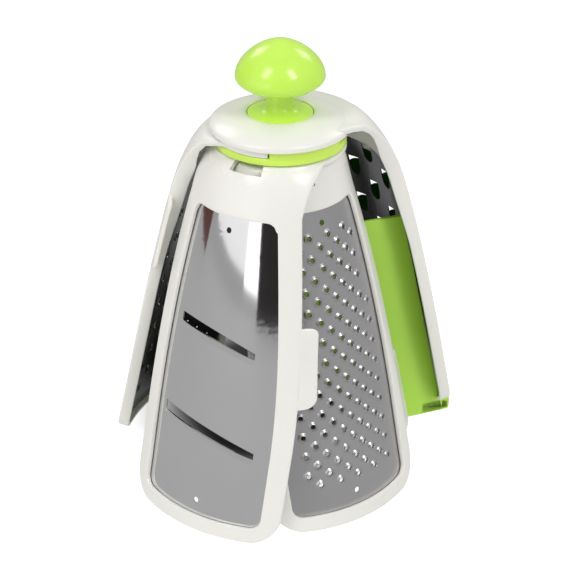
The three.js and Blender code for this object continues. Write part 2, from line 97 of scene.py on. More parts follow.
# ---------------------------------------------------------------- node groups
class NodeSheet:
    """Adds and joins the nodes of one tree."""

    def __init__(self, tree: bpy.types.NodeTree) -> None:
        """Keeps the tree that the nodes go into."""
        self.tree = tree
        self.column = 0

    def add(self, kind: str, **values: object) -> bpy.types.Node:
        """Adds a node and sets its properties and input values.

        Args:
            kind: Blender's type name for the node, without its prefix.
            **values: Properties by name; a name that the node lacks is an input's name.

        Returns:
            The new node.
        """
        node = self.tree.nodes.new("ShaderNode" + kind)
        node.location = (180 * self.column, 0)
        self.column += 1
        for key, value in values.items():
            if hasattr(node, key):
                setattr(node, key, value)
            else:
                node.inputs[key.replace("_", " ")].default_value = value
        return node

    def join(self, *pairs: tuple[bpy.types.NodeSocket, bpy.types.NodeSocket]) -> None:
        """Links each pair of sockets, output first."""
        for source, target in pairs:
            self.tree.links.new(source, target)

    def maths(self, operation: str, first: object, second: object = 0.5) -> bpy.types.NodeSocket:
        """Adds a Math node on two sockets or numbers.

        Args:
            operation: Name of the operation.
            first: First number, or the socket that it comes from.
            second: Second number, or the socket that it comes from.

        Returns:
            The node's result.
        """
        node = self.add("Math", operation=operation)
        for socket, value in zip(node.inputs, (first, second)):
            if isinstance(value, bpy.types.NodeSocket):
                self.join((value, socket))
            else:
                socket.default_value = value
        return node.outputs[0]


def shared_group(
    name: str,
    inputs: dict[str, float],
    outputs: Sequence[str],
    build: Callable[[NodeSheet, bpy.types.Node, bpy.types.Node], None],
) -> bpy.types.NodeTree:
    """Makes a node group the first time that it is asked for.

    Args:
        name: Name of the group.
        inputs: Its float inputs with their usual values.
        outputs: Names of its float outputs.
        build: Fills the group, given a sheet, its input node and its output node.

    Returns:
        The group.
    """
    found = bpy.data.node_groups.get(name)
    if found:
        return found
    tree = bpy.data.node_groups.new(name, "ShaderNodeTree")
    for key, value in inputs.items():
        socket = tree.interface.new_socket(key, in_out="INPUT", socket_type="NodeSocketFloat")
        socket.default_value = value
    for key in outputs:
        tree.interface.new_socket(key, in_out="OUTPUT", socket_type="NodeSocketFloat")
    sheet = NodeSheet(tree)
    entry = tree.nodes.new("NodeGroupInput")
    leave = tree.nodes.new("NodeGroupOutput")
    build(sheet, entry, leave)
    return tree


def fill_moulded_skin(sheet: NodeSheet, entry: bpy.types.Node, leave: bpy.types.Node) -> None:
    """Fine grain and slow drift of tone that moulded plastic shows.

    Args:
        sheet: Sheet of the group.
        entry: Its input node.
        leave: Its output node.
    """
    place = sheet.add("TexCoord")
    grain = sheet.add("TexNoise", Detail=3.0, Roughness=0.6)
    drift = sheet.add("TexNoise", Scale=14.0, Detail=1.0)
    sheet.join(
        (place.outputs["Object"], grain.inputs["Vector"]),
        (place.outputs["Object"], drift.inputs["Vector"]),
        (entry.outputs["Grain Scale"], grain.inputs["Scale"]),
    )
    sheet.join(
        (sheet.maths("MULTIPLY", grain.outputs[0], entry.outputs["Depth"]), leave.inputs["Height"]),
        (drift.outputs[0], leave.inputs["Drift"]),
    )


def fill_settled_dust(sheet: NodeSheet, entry: bpy.types.Node, leave: bpy.types.Node) -> None:
    """Patchy dust that lies on faces that look up.

    Args:
        sheet: Sheet of the group.
        entry: Its input node.
        leave: Its output node.
    """
    place = sheet.add("TexCoord")
    patches = sheet.add("TexNoise", Scale=60.0, Detail=4.0)
    facing = sheet.add("NewGeometry")
    split = sheet.add("SeparateXYZ")
    sheet.join(
        (place.outputs["Object"], patches.inputs["Vector"]),
        (facing.outputs["Normal"], split.inputs[0]),
    )
    upward = sheet.maths("MAXIMUM", split.outputs["Z"], 0.0)
    patchy = sheet.maths("MULTIPLY", upward, patches.outputs[0])
    sheet.join((sheet.maths("MULTIPLY", patchy, entry.outputs["Amount"]), leave.inputs["Mask"]))


def fill_drawn_lines(sheet: NodeSheet, entry: bpy.types.Node, leave: bpy.types.Node) -> None:
    """Fine lines up the sheet that rolling and polishing leave in steel.

    Args:
        sheet: Sheet of the group.
        entry: Its input node.
        leave: Its output node.
    """
    place = sheet.add("TexCoord")
    stretch = sheet.add("Mapping")
    stretch.inputs["Scale"].default_value = (1.0, 1.0, 0.035)
    lines = sheet.add("TexNoise", Detail=5.0, Roughness=0.7)
    cloud = sheet.add("TexNoise", Scale=22.0, Detail=2.0)
    sheet.join(
        (place.outputs["Object"], stretch.inputs["Vector"]),
        (stretch.outputs[0], lines.inputs["Vector"]),
        (place.outputs["Object"], cloud.inputs["Vector"]),
        (entry.outputs["Line Scale"], lines.inputs["Scale"]),
    )
    sheet.join(
        (sheet.maths("MULTIPLY", lines.outputs[0], entry.outputs["Depth"]), leave.inputs["Height"]),
        (lines.outputs[0], leave.inputs["Lines"]),
        (cloud.outputs[0], leave.inputs["Cloud"]),
    )


def moulded_skin() -> bpy.types.NodeTree:
    """The shared group for moulded plastic."""
    sizes = {"Grain Scale": 900.0, "Depth": 1.0}
    return shared_group("moulded skin", sizes, ("Height", "Drift"), fill_moulded_skin)


def settled_dust() -> bpy.types.NodeTree:
    """The shared group for dust."""
    return shared_group("settled dust", {"Amount": 0.1}, ("Mask",), fill_settled_dust)


def drawn_lines() -> bpy.types.NodeTree:
    """The shared group for drawn steel."""
    sizes = {"Line Scale": 900.0, "Depth": 1.0}
    return shared_group("drawn lines", sizes, ("Height", "Lines", "Cloud"), fill_drawn_lines)


# ---------------------------------------------------------------- finishes
@dataclass(frozen=True)
class Finish:
    """What every finish has: a name, two tones and a gloss."""

    name: str
    light: Colour
    dark: Colour
    roughness: float

    def start(self) -> tuple[bpy.types.Material, NodeSheet, bpy.types.Node]:
        """Makes the empty material with its shader.

        Returns:
            The material, a sheet on its tree and its shader node.
        """
        made = bpy.data.materials.new(self.name)
        made.use_nodes = True
        return made, NodeSheet(made.node_tree), made.node_tree.nodes["Principled BSDF"]

    def tones(self, sheet: NodeSheet, factor: bpy.types.NodeSocket) -> bpy.types.NodeSocket:
        """Blends the two tones by a factor.

        Args:
            sheet: Sheet of the material.
            factor: 0 gives the dark tone and 1 the light tone.

        Returns:
            The blended colour.
        """
        mix = sheet.add("Mix", data_type="RGBA")
        mix.inputs[6].default_value = self.dark
        mix.inputs[7].default_value = self.light
        sheet.join((factor, mix.inputs[0]))
        return mix.outputs[2]

    def gloss(
        self, sheet: NodeSheet, factor: bpy.types.NodeSocket, low: float, high: float
    ) -> bpy.types.NodeSocket:
        """Maps a 0 to 1 factor to a roughness.

        Args:
            sheet: Sheet of the material.
            factor: The factor.
            low: Roughness at 0.
            high: Roughness at 1.

        Returns:
            The roughness.
        """
        span = sheet.add("MapRange")
        span.inputs["To Min"].default_value = low
        span.inputs["To Max"].default_value = high
        sheet.join((factor, span.inputs["Value"]))
        return span.outputs[0]

    def bump(
        self, sheet: NodeSheet, height: bpy.types.NodeSocket, strength: float, distance: float
    ) -> bpy.types.NodeSocket:
        """Turns a height into a normal.

        Args:
            sheet: Sheet of the material.
            height: The height, from 0 to 1.
            strength: How much of the bump shows.
            distance: Its height in metres.

        Returns:
            The normal.
        """
        node = sheet.add("Bump", Strength=strength, Distance=distance)
        sheet.join((height, node.inputs["Height"]))
        return node.outputs[0]


@dataclass(frozen=True)
class MouldedPlastic(Finish):
    """Glossy moulded plastic with a faint grain."""

    grain: float = 0.12
    glow: float = 0.0
    grain_height: float = 0.00012
    glow_depth: float = 0.0015
    dust: float = 0.12

    def make(self) -> bpy.types.Material:
        """Builds the material.

        Returns:
            The material.
        """
        made, sheet, shader = self.start()
        skin = sheet.add("Group", node_tree=moulded_skin())
        dust = sheet.add("Group", node_tree=settled_dust())
        dust.inputs["Amount"].default_value = self.dust
        shader.inputs["IOR"].default_value = 1.5
        shader.inputs["Subsurface Weight"].default_value = self.glow
        shader.inputs["Subsurface Radius"].default_value = (1.0, 0.9, 0.6)
        shader.inputs["Subsurface Scale"].default_value = self.glow_depth
        drift = skin.outputs["Drift"]
        rough = self.gloss(sheet, drift, self.roughness * 0.85, self.roughness * 1.15)
        normal = self.bump(sheet, skin.outputs["Height"], self.grain, self.grain_height)
        sheet.join(
            (self.tones(sheet, drift), shader.inputs["Base Color"]),
            (sheet.maths("ADD", rough, dust.outputs["Mask"]), shader.inputs["Roughness"]),
            (normal, shader.inputs["Normal"]),
        )
        return made


@dataclass(frozen=True)
class SheetSteel(Finish):
    """Stainless sheet, drawn and polished."""

    line_depth: float = 0.1
    line_height: float = 0.00006
    dust: float = 0.05

    def make(self) -> bpy.types.Material:
        """Builds the material.

        Returns:
            The material.
        """
        made, sheet, shader = self.start()
        lines = sheet.add("Group", node_tree=drawn_lines())
        dust = sheet.add("Group", node_tree=settled_dust())
        dust.inputs["Amount"].default_value = self.dust
        shader.inputs["Metallic"].default_value = 1.0
        low, high = self.roughness * 0.7, self.roughness * 1.3
        rough = self.gloss(sheet, lines.outputs["Lines"], low, high)
        normal = self.bump(sheet, lines.outputs["Height"], self.line_depth, self.line_height)
        sheet.join(
            (self.tones(sheet, lines.outputs["Cloud"]), shader.inputs["Base Color"]),
            (sheet.maths("ADD", rough, dust.outputs["Mask"]), shader.inputs["Roughness"]),
            (normal, shader.inputs["Normal"]),
        )
        return made


@dataclass(frozen=True)
class StudioPaint(Finish):
    """Plain paper or card of the studio round the grater."""

    glow: float = 0.0

    def make(self) -> bpy.types.Material:
        """Builds the material.

        Returns:
            The material.
        """
        made, sheet, shader = self.start()
        skin = sheet.add("Group", node_tree=moulded_skin())
        shader.inputs["Roughness"].default_value = self.roughness
        shader.inputs["Emission Color"].default_value = WHITE
        shader.inputs["Emission Strength"].default_value = self.glow
        sheet.join((self.tones(sheet, skin.outputs["Drift"]), shader.inputs["Base Color"]))
        return made


@dataclass(frozen=True)
class FloorPaper(Finish):
    """Pale floor that the camera sees lit from below, with a painted soft shade under the grater."""

    shade_from: float = 0.5
    shade_to: float = 1.0
    glow: float = 0.3
    bounce: float = 0.6

    def make(self) -> bpy.types.Material:
        """Builds the material.

        Returns:
            The material.
        """
        made, sheet, shader = self.start()
        place = sheet.add("TexCoord")
        centre = sheet.add("Mapping")
        centre.inputs["Location"].default_value = (0.15, -0.42, 0.0)
        centre.inputs["Scale"].default_value = (12.0, 9.0, 1.0)
        reach = sheet.add("VectorMath", operation="LENGTH")
        # Painted shade: a soft ellipse under the grater where the floor takes the dark tone and loses
        # its glow.
        edge = sheet.add("MapRange", interpolation_type="SMOOTHSTEP")
        edge.inputs["From Min"].default_value = self.shade_from
        edge.inputs["From Max"].default_value = self.shade_to
        path = sheet.add("LightPath")
        shader.inputs["Roughness"].default_value = self.roughness
        shader.inputs["Emission Color"].default_value = WHITE
        sheet.join(
            (place.outputs["Object"], centre.inputs["Vector"]),
            (centre.outputs[0], reach.inputs[0]),
            (reach.outputs["Value"], edge.inputs["Value"]),
        )
        spread = sheet.add("MapRange")
        spread.inputs["To Min"].default_value = self.glow
        sheet.join((path.outputs["Is Camera Ray"], spread.inputs["Value"]))
        bounce = sheet.maths("MULTIPLY", path.outputs["Is Diffuse Ray"], self.bounce)
        shine = sheet.maths("ADD", spread.outputs[0], bounce)
        # The painted shade mask takes the glow away under the grater.
        seen = sheet.maths("MULTIPLY", shine, edge.outputs[0])
        sheet.join(
            (self.tones(sheet, edge.outputs[0]), shader.inputs["Base Color"]),
            (seen, shader.inputs["Emission Strength"]),
        )
        return made


# ---------------------------------------------------------------- lines and leaves
def cubic(points: Sequence[Point], share: float) -> Vector:
    """Point on a cubic Bezier curve.

    Args:
        points: The four control points.
        share: Place along the curve, from 0 to 1.

    Returns:
        The point.
    """
    a, b, c, d = (Vector(p) for p in points)
    rest = 1 - share
    return a * rest**3 + b * 3 * rest * rest * share + c * 3 * rest * share * share + d * share**3


def blend(low: float, high: float, share: float) -> float:
    """Value between two numbers."""
    return low + (high - low) * share


def ease(value: float, low: float, high: float) -> float:
    """Smooth step from 0 at low to 1 at high."""
    share = min(max((value - low) / (high - low), 0.0), 1.0)
    return share * share * (3 - 2 * share)


FLANK = ((45.7, 42.0), (45.7, 83.0), (40.2, 124.0), (33.0, 165.0))
FLANK_POINTS = [cubic(FLANK, i / 60) for i in range(61)]


def half_width(up: float) -> float:
    """Half the width of a leaf at a height.

    Args:
        up: Height above the floor.

    Returns:
        Half the width, measured square to the leaf's centre line.
    """
    if up <= WIDEST_HEIGHT:
        return HALF_WIDTH
    if up >= WAIST_HEIGHT:
        return HUB_HALF_WIDTH
    index = bisect_right([p.y for p in FLANK_POINTS], up)
    low, high = FLANK_POINTS[index - 1], FLANK_POINTS[index]
    return blend(low.x, high.x, (up - low.y) / (high.y - low.y))


def wall_curve(out: float) -> tuple[Point, ...]:
    """Control points of a leaf's wall, as (radius, height).

    Args:
        out: How far it lies outside the innermost leaf.

    Returns:
        The four control points, from the foot up.
    """
    third = WALL_HEIGHT / 3
    return (
        (FOOT_RADIUS + out, 0.0),
        (FOOT_RADIUS + out - 0.27 * third, third),
        (TOP_RADIUS + out + 0.3 * third, 2 * third),
        (TOP_RADIUS + out, WALL_HEIGHT),
    )


@dataclass(frozen=True)
class Leaf:
    """Sizes of one leaf and the curved surface that its pieces lie on.

    A piece is first made flat, as (across, up, out), and then wrapped on the wall: up runs
    along the wall's line from the foot over the shoulder, and out stands square to it.
    """

    name: str
    steps: int
    azimuth: float
    foot: float
    shoulder_rim: float
    flange_top: float
    flange_edge: float
    flange: float
    inner_end: float
    tab: tuple[float, float] | None = None

    def line(self) -> list[tuple[float, Vector, Vector]]:
        """Outer line of the wall.

        Returns:
            Places as (run, point, direction), where run is height on the wall and then length.
        """
        wall = wall_curve(self.steps * LEAF_PITCH)
        points = [cubic(wall, i / 48) for i in range(49)]
        top, rise = points[-1], (points[-1] - points[-2]).normalized()
        edge = Vector((self.flange_edge, self.flange_top))
        pull = Vector(((top.x - edge.x) * 0.42, 0.0))
        shoulder = (top, top + rise * 14, edge + pull, edge)
        points += [cubic(shoulder, i / 24) for i in range(1, 25)]
        points += [Vector((blend(edge.x, BORE, i / 8), edge.y)) for i in range(1, 9)]
        runs = [p.y for p in points[:49]]
        for before, after in zip(points[48:], points[49:]):
            runs.append(runs[-1] + (after - before).length)
        last = len(points) - 1
        spans = [points[min(i + 1, last)] - points[max(i - 1, 0)] for i in range(last + 1)]
        ways = [span.normalized() for span in spans]
        return list(zip(runs, points, ways))

    def run_at_radius(self, radius: float) -> float:
        """How far along the line the wall comes in to a radius."""
        return next(run for run, point, _ in self.line() if point.x <= radius)

    def rim(self, height: float) -> float:
        """Depth of the rim at a height.

        Args:
            height: Height above the floor.

        Returns:
            Depth below the leaf's outer surface.
        """
        depth = blend(RIM_DEPTH, self.shoulder_rim, ease(height, WALL_HEIGHT - 40, WALL_HEIGHT))
        late = 0.4 if self.shoulder_rim > RIM_DEPTH else 0.0
        low = blend(WALL_HEIGHT, self.flange_top, late)
        return blend(depth, self.flange, ease(height, low, self.flange_top - 2))

    def wrap(self, mesh: bmesh.types.BMesh) -> None:
        """Lays a flat mesh on the wall.

        Args:
            mesh: Mesh as (across, up, out), where an out near RIM_BASE counts from the rim's depth.
        """
        line = self.line()
        runs = [run for run, _, _ in line]
        for vertex in mesh.verts:
            across, up, out = vertex.co
            index = min(max(bisect_right(runs, up), 1), len(runs) - 1)
            share = (up - runs[index - 1]) / (runs[index] - runs[index - 1])
            point = line[index - 1][1].lerp(line[index][1], share)
            way = line[index - 1][2].lerp(line[index][2], min(max(share, 0), 1)).normalized()
            if out <= RIM_LIMIT:
                out = out - RIM_BASE - self.rim(point.y)
            angle = math.asin(max(-0.985, min(0.985, across / max(point.x, 34.0))))
            radius = point.x + out * way.y
            turn = math.radians(self.azimuth) + angle
            height = max(point.y - out * way.x, self.foot)
            vertex.co = (radius * math.sin(turn), -radius * math.cos(turn), height)

    def outline(self, border: float, foot: float, top: float, corner: float) -> list[Point]:
        """Closed outline of the leaf, moved in by a border.

        Args:
            border: How far the sides are moved in.
            foot: How far the foot is moved up.
            top: Where the outline ends above.
            corner: Radius of its upper corners.

        Returns:
            Points as (across, up), from the foot's middle round to the right.
        """
        low = self.foot + foot
        half = HALF_WIDTH - border
        bend = CORNER_RADIUS - min(border, CORNER_RADIUS - 5)
        upper = half_width(top) - border - corner
        right = [((half - bend) * i / 8, low) for i in range(9)]
        for i in range(1, 9):
            angle = math.radians(90 * i / 8 - 90)
            across = half - bend + bend * math.cos(angle)
            right.append((across, low + bend + bend * math.sin(angle)))
        for i in range(1, 37):
            up = blend(low + bend, top - corner, i / 36)
            right.append((half_width(up) - border, up))
        for i in range(1, 7):
            angle = math.radians(90 * i / 6)
            right.append((upper + corner * math.cos(angle), top - corner + corner * math.sin(angle)))
        right += [(upper * (1 - i / 8), top) for i in range(1, 9)]
        return right + [(-x, y) for x, y in reversed(right[1:-1])]


COARSE = Leaf("coarse", 3, 131.1, 8.5, 7.6, 199.3, 36.0, 3.3, 30.0)
FINE = Leaf("fine", 2, -125.4, 0.0, 8.2, 194.3, 34.0, 3.0, 29.0, (117.0, 157.0))
SLICER = Leaf("slicer", 1, -33.3, 0.0, 6.2, 187.1, 30.0, 2.4, 27.0, (71.0, 112.0))
GRATE = Leaf("grate", 0, 34.4, 0.0, 6.2, 184.4, 29.0, 2.4, 26.0, (24.0, 66.0))


# ---------------------------------------------------------------- mesh work
def ring_edges(
    mesh: bmesh.types.BMesh, points: Sequence[Sequence[float]]
) -> list[bmesh.types.BMEdge]:
    """Adds a closed loop of edges through points.

    Args:
        mesh: Mesh that the loop goes into.
        points: Its corners in order.

    Returns:
        The loop's edges.
    """
    corners = [mesh.verts.new(p if len(p) == 3 else (*p, 0.0)) for p in points]
    return [mesh.edges.new((a, b)) for a, b in zip(corners, corners[1:] + corners[:1])]


def extrude_row(
    mesh: bmesh.types.BMesh,
    edges: list[bmesh.types.BMEdge],
    order: dict[bmesh.types.BMVert, int],
    places: Sequence[Sequence[float]],
) -> tuple[list[bmesh.types.BMEdge], dict[bmesh.types.BMVert, int]]:
    """Extrudes a row of edges and moves its new corners to their places.

    Args:
        mesh: Mesh that the row belongs to.
        edges: Edges of the row.
        order: Place number of each corner of the row.
        places: Where the new corners go.

    Returns:
        The new row's edges and the place numbers of its corners.
    """
    made = bmesh.ops.extrude_edge_only(mesh, edges=edges)["geom"]
    moved = {}
    for corner in (g for g in made if isinstance(g, bmesh.types.BMVert)):
        others = (edge.other_vert(corner) for edge in corner.link_edges)
        moved[corner] = order[next(other for other in others if other in order)]
    for corner, index in moved.items():
        corner.co = places[index]
    return [g for g in made if isinstance(g, bmesh.types.BMEdge)], moved


def loft(loops: Sequence[Sequence[Sequence[float]]]) -> bmesh.types.BMesh:
    """Carries a closed loop through a row of places and back to the first.

    Args:
        loops: The loop's points at each place, all of the same count.

    Returns:
        A closed body.
    """
    mesh = bmesh.new()
    edges = ring_edges(mesh, loops[0])
    order = {edge.verts[0]: i for i, edge in enumerate(edges)}
    for places in [*loops[1:], loops[0]]:
        edges, order = extrude_row(mesh, edges, order, places)
    bmesh.ops.remove_doubles(mesh, verts=mesh.verts, dist=JOIN_DISTANCE)
    bmesh.ops.recalc_face_normals(mesh, faces=mesh.faces)
    return mesh


def turned(
    profile: Sequence[Point], steps: int = 96, angle: float = 360.0, start: float = 0.0
) -> bmesh.types.BMesh:
    """Turns a closed profile about the spindle.

    Args:
        profile: Corners as (radius, height).
        steps: Faces round the turn.
        angle: How far it turns, in degrees.
        start: Azimuth where it starts, in degrees from the front.

    Returns:
        A closed body with its edges as drawn.
    """
    mesh = bmesh.new()
    first = math.radians(start - 90)
    points = [(r * math.cos(first), r * math.sin(first), z) for r, z in profile]
    edges = ring_edges(mesh, points)
    full = angle >= 360
    geometry = list(mesh.verts) + edges
    if not full:
        geometry.append(mesh.faces.new([e.verts[0] for e in edges]))
    bmesh.ops.spin(
        mesh,
        geom=geometry,
        cent=(0, 0, 0),
        axis=(0, 0, 1),
        angle=math.radians(angle),
        steps=steps,
        use_merge=full,
        use_duplicate=False,
    )
    bmesh.ops.remove_doubles(mesh, verts=mesh.verts, dist=JOIN_DISTANCE)
    bmesh.ops.recalc_face_normals(mesh, faces=mesh.faces)
    return mesh


def soften(mesh: bmesh.types.BMesh, offset: float, least: float = 30.0, segments: int = 3) -> None:
    """Rounds the edges that are sharper than an angle.

    Args:
        mesh: Mesh to round.
        offset: Width of the rounding.
        least: Smallest angle between two faces that counts as an edge, in degrees.
        segments: Faces across the rounding.
    """
    limit = math.radians(least)
    edges = [e for e in mesh.edges if len(e.link_faces) == 2 and e.calc_face_angle(0) > limit]
    bmesh.ops.bevel(
        mesh,
        geom=edges,
        offset=offset,
        offset_type="OFFSET",
        segments=segments,
        profile=0.5,
        affect="EDGES",
        clamp_overlap=True,
        material=-1,
    )


def slab(outline: Sequence[Point], low: float, high: float) -> bmesh.types.BMesh:
    """Flat body between two levels with a drawn outline.

    Args:
        outline: Corners as (across, up).
        low: Level of its back.
        high: Level of its face.

    Returns:
        The body.
    """
    mesh = bmesh.new()
    ring_edges(mesh, [(x, y, low) for x, y in outline])
    face = bmesh.ops.contextual_create(mesh, geom=mesh.edges[:])["faces"]
    top = bmesh.ops.extrude_face_region(mesh, geom=face)["geom"]
    corners = [g for g in top if isinstance(g, bmesh.types.BMVert)]
    bmesh.ops.translate(mesh, verts=corners, vec=(0, 0, high - low))
    bmesh.ops.recalc_face_normals(mesh, faces=mesh.faces)
    return mesh


def spun(mesh: bmesh.types.BMesh, degrees: float, axis: str) -> None:
    """Turns a mesh about an axis through the origin."""
    turn = Matrix.Rotation(math.radians(degrees), 3, axis)
    bmesh.ops.rotate(mesh, verts=mesh.verts, cent=(0, 0, 0), matrix=turn)


def slice_up(mesh: bmesh.types.BMesh, axis: int, cuts: Sequence[float]) -> None:
    """Cuts a mesh square to an axis, so that it can bend.

    Args:
        mesh: Mesh to cut.
        axis: 0 for across and 1 for up.
        cuts: Places of the cuts.
    """
    normal = Vector((axis == 0, axis == 1, 0))
    for cut in cuts:
        whole = [*mesh.verts, *mesh.edges, *mesh.faces]
        bmesh.ops.bisect_plane(
            mesh, geom=whole, dist=JOIN_DISTANCE, plane_co=normal * cut, plane_no=normal
        )


def merge(*parts: bmesh.types.BMesh) -> bmesh.types.BMesh:
    """Puts several meshes into the first, which is returned."""
    whole = parts[0]
    for part in parts[1:]:
        carrier = bpy.data.meshes.new("carrier")
        part.to_mesh(carrier)
        part.free()
        whole.from_mesh(carrier)
        bpy.data.meshes.remove(carrier)
    return whole


def carve(mesh: bmesh.types.BMesh, cutter: bmesh.types.BMesh) -> bmesh.types.BMesh:
    """Cuts one body out of another.

    Args:
        mesh: Body to cut; it is used up.
        cutter: Shape of the cut; it is used up.

    Returns:
        What is left.
    """
    pieces = []
    for name, part in (("carved", mesh), ("cutter", cutter)):
        data = bpy.data.meshes.new(name)
        part.to_mesh(data)
        part.free()
        pieces.append(bpy.data.objects.new(name, data))
        bpy.context.scene.collection.objects.link(pieces[-1])
    body, tool = pieces
    cut = body.modifiers.new("cut", "BOOLEAN")
    cut.operation = "DIFFERENCE"
    cut.solver = "EXACT"
    cut.use_self = True
    cut.object = tool
    left = bmesh.new()
    left.from_object(body, bpy.context.evaluated_depsgraph_get())
    for piece in pieces:
        bpy.data.meshes.remove(piece.data)
    return left


class Workshop:
    """Turns finished meshes into pieces on the frame's bodies."""

    def __init__(self) -> None:
        """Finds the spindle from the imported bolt."""
        low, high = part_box("spindle_bolt")
        self.spindle = (low + high) / 2
        self.spindle.z = 0.0

    def piece(
        self,
        mesh: bmesh.types.BMesh,
        name: str,
        material: bpy.types.Material,
        body: str,
        slot: str,
        stands_for: Sequence[str] = (),
        sharp: float = 40.0,
    ) -> bpy.types.Object:
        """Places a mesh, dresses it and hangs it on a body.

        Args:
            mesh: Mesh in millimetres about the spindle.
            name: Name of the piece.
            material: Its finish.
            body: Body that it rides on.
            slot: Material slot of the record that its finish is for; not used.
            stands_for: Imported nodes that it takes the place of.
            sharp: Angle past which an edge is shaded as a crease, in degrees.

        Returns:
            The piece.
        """
        bmesh.ops.scale(mesh, verts=mesh.verts, vec=(MM, MM, MM))
        bmesh.ops.translate(mesh, verts=mesh.verts, vec=self.spindle)
        for face in mesh.faces:
            face.smooth = True
        for edge in mesh.edges:
            edge.smooth = edge.calc_face_angle(0) < math.radians(sharp)
        data = bpy.data.meshes.new(name)
        mesh.to_mesh(data)
        mesh.free()
        data.materials.append(material)
        made = bpy.data.objects.new(name, data)
        bpy.context.scene.collection.objects.link(made)
        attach(made, body)
        if stands_for:
            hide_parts(*stands_for)
        LOG.info("%s: %d faces on %s", name, len(data.polygons), body)
        return made


# ---------------------------------------------------------------- leaf frames
@dataclass
class LeafFrame:
    """White plastic tray of a leaf: skin, rim, window, tab and hub flange."""

    leaf: Leaf
    finish: bpy.types.Material
    index_window: tuple[float, float] | None = None
    edge_round: float = 0.9
    rim_round: float = 0.6
    window_inner: float = 26.0
    window_outer: float = 36.3
    window_drop: float = 9.0

    def loops(self) -> list[list[Place]]:
        """Loops round the tray's section, from the window's edge out, down the rim and back.

        Returns:
            Loops of (across, up, out), where an out near RIM_BASE counts from the rim's depth.
        """
        leaf = self.leaf
        end = leaf.run_at_radius(leaf.inner_end)
        window = leaf.outline(BORDER, FOOT_BORDER, WINDOW_TOP, 5.0)
        made: list[list[Place]] = []

        def between(border: float, top: float, share: float, out: float) -> None:
            """Adds a loop a share of the way from an inset outline to the window."""
            near = leaf.outline(border, border, top, 3.0)
            pairs = zip(near, window)
            made.append([(blend(a, c, share), blend(b, d, share), out) for (a, b), (c, d) in pairs])

        soft, under = self.edge_round, self.rim_round
        for share, out in ((1.0, -0.5), (0.985, -0.15), (0.95, 0.0)):
            between(0.0, end, share, out)
        for i in range(13, -1, -1):
            between(soft, end - 0.4, 0.93 * i / 13, 0.0)
        for angle in (22.5, 45, 67.5, 90):
            turn = math.radians(angle)
            between(soft * (1 - math.sin(turn)), end, 0.0, soft * (math.cos(turn) - 1))
        for angle in (0, 30, 60, 90):
            turn = math.radians(angle)
            out = RIM_BASE + under * (1 - math.sin(turn))
            between(under * (1 - math.cos(turn)), end, 0.0, out)
        for i in range(1, 13):
            share = i / 12
            border = blend(under, RIM_WALL - under, share)
            between(border, blend(end, 176.6, share), 0.0, RIM_BASE)
        for angle in (30, 60, 90):
            turn = math.radians(angle)
            out = RIM_BASE + under * (1 - math.cos(turn))
            between(RIM_WALL - under * (1 - math.sin(turn)), 176.3, 0.0, out)
        between(RIM_WALL, 176.0, 0.0, -SKIN - 0.4)
        between(RIM_WALL + 0.4, 175.6, 0.0, -SKIN)
        for share in (0.3, 0.6, 0.97):
            between(RIM_WALL, 176.0, share, -SKIN)
        between(RIM_WALL, 176.0, 1.0, -SKIN + 0.3)
        return made

    def tab(self) -> bmesh.types.BMesh:
        """Finger tab past the leaf's edge.

        Returns:
            The tab, flat.
        """
        low, high = self.leaf.tab
        near, far = half_width(low) + 6.4, half_width(high) + 6.4
        root = half_width(high) - 2
        outline = [(root, low), (near - 5, low)]
        for i in range(1, 7):
            share = i / 6
            outline.append((near - 5 * (1 - share) ** 2, low + 5 * share**2))
        for i in range(7):
            share = i / 6
            outline.append((far - 5 * share**2, high - 5 * (1 - share) ** 2))
        outline.append((root, high))
        mesh = slab(outline, -SKIN, 0.0)
        soften(mesh, 0.7, 60.0)
        slice_up(mesh, 1, [blend(low, high, i / 8) for i in range(1, 8)])
        return mesh

    def hub_ring(self) -> bmesh.types.BMesh | None:
        """Flange round the spindle.

        Returns:
            The ring, or nothing for the coarse leaf, whose disc takes its place.
        """
        leaf = self.leaf
        if leaf is COARSE:
            return None
        line = [(p.x, p.y) for _, p, _ in leaf.line() if p.x <= HUB_RADIUS]
        top = [(HUB_RADIUS, line[0][1]), *line]
        under = [(r, z - leaf.rim(z)) for r, z in reversed(top)]
        if leaf is FINE:
            ring = turned([*top, *under], 64, 181.0, leaf.azimuth - 66)
        else:
            ring = turned([*top, *under])
        soften(ring, 0.4, 50.0, 2)
        return ring

    def build(self, shop: Workshop) -> bpy.types.Object:
        """Makes the frame and its tab, flange or disc.

        Args:
            shop: Workshop that places it.

        Returns:
            The piece.
        """
        leaf = self.leaf
        body = loft(self.loops())
        if leaf.tab:
            body = merge(body, self.tab())
        leaf.wrap(body)
        bmesh.ops.recalc_face_normals(body, faces=body.faces)
        name = leaf.name + "_frame"
        if self.index_window:
            start, end = self.index_window
            low, inner, outer = leaf.flange_top - self.window_drop, self.window_inner, self.window_outer
            section = [(inner, low), (outer, low), (outer, CAP_UNDERSIDE), (inner, CAP_UNDERSIDE)]
            cutter = turned(section, 8, end - start, leaf.azimuth + start)
            body = carve(merge(body, self.hub_ring()), cutter)
        else:
            body = merge(body, self.hub_ring() or self.disc())
        ride = leaf.name + "_leaf"
        return shop.piece(body, name + "_shell", self.finish, ride, "white_plastic", [name])

    def disc(self) -> bmesh.types.BMesh:
        """White disc that tops the hub.

        Returns:
            The disc.
        """
        crown = ((34.3, 197.9), (29.0, 200.9), (23.5, 202.5), (17.6, 202.7))
        top = [cubic(crown, i / 10) for i in range(11)]
        profile = [(BORE, 194.7), (35.0, 194.7), (35.0, 197.2), *((p.x, p.y) for p in top)]
        profile += [(16.5, 202.2), (16.5, 199.6), (BORE, 199.6)]
        disc = turned(profile, 128)
        soften(disc, 0.45, 40.0, 3)
        return disc


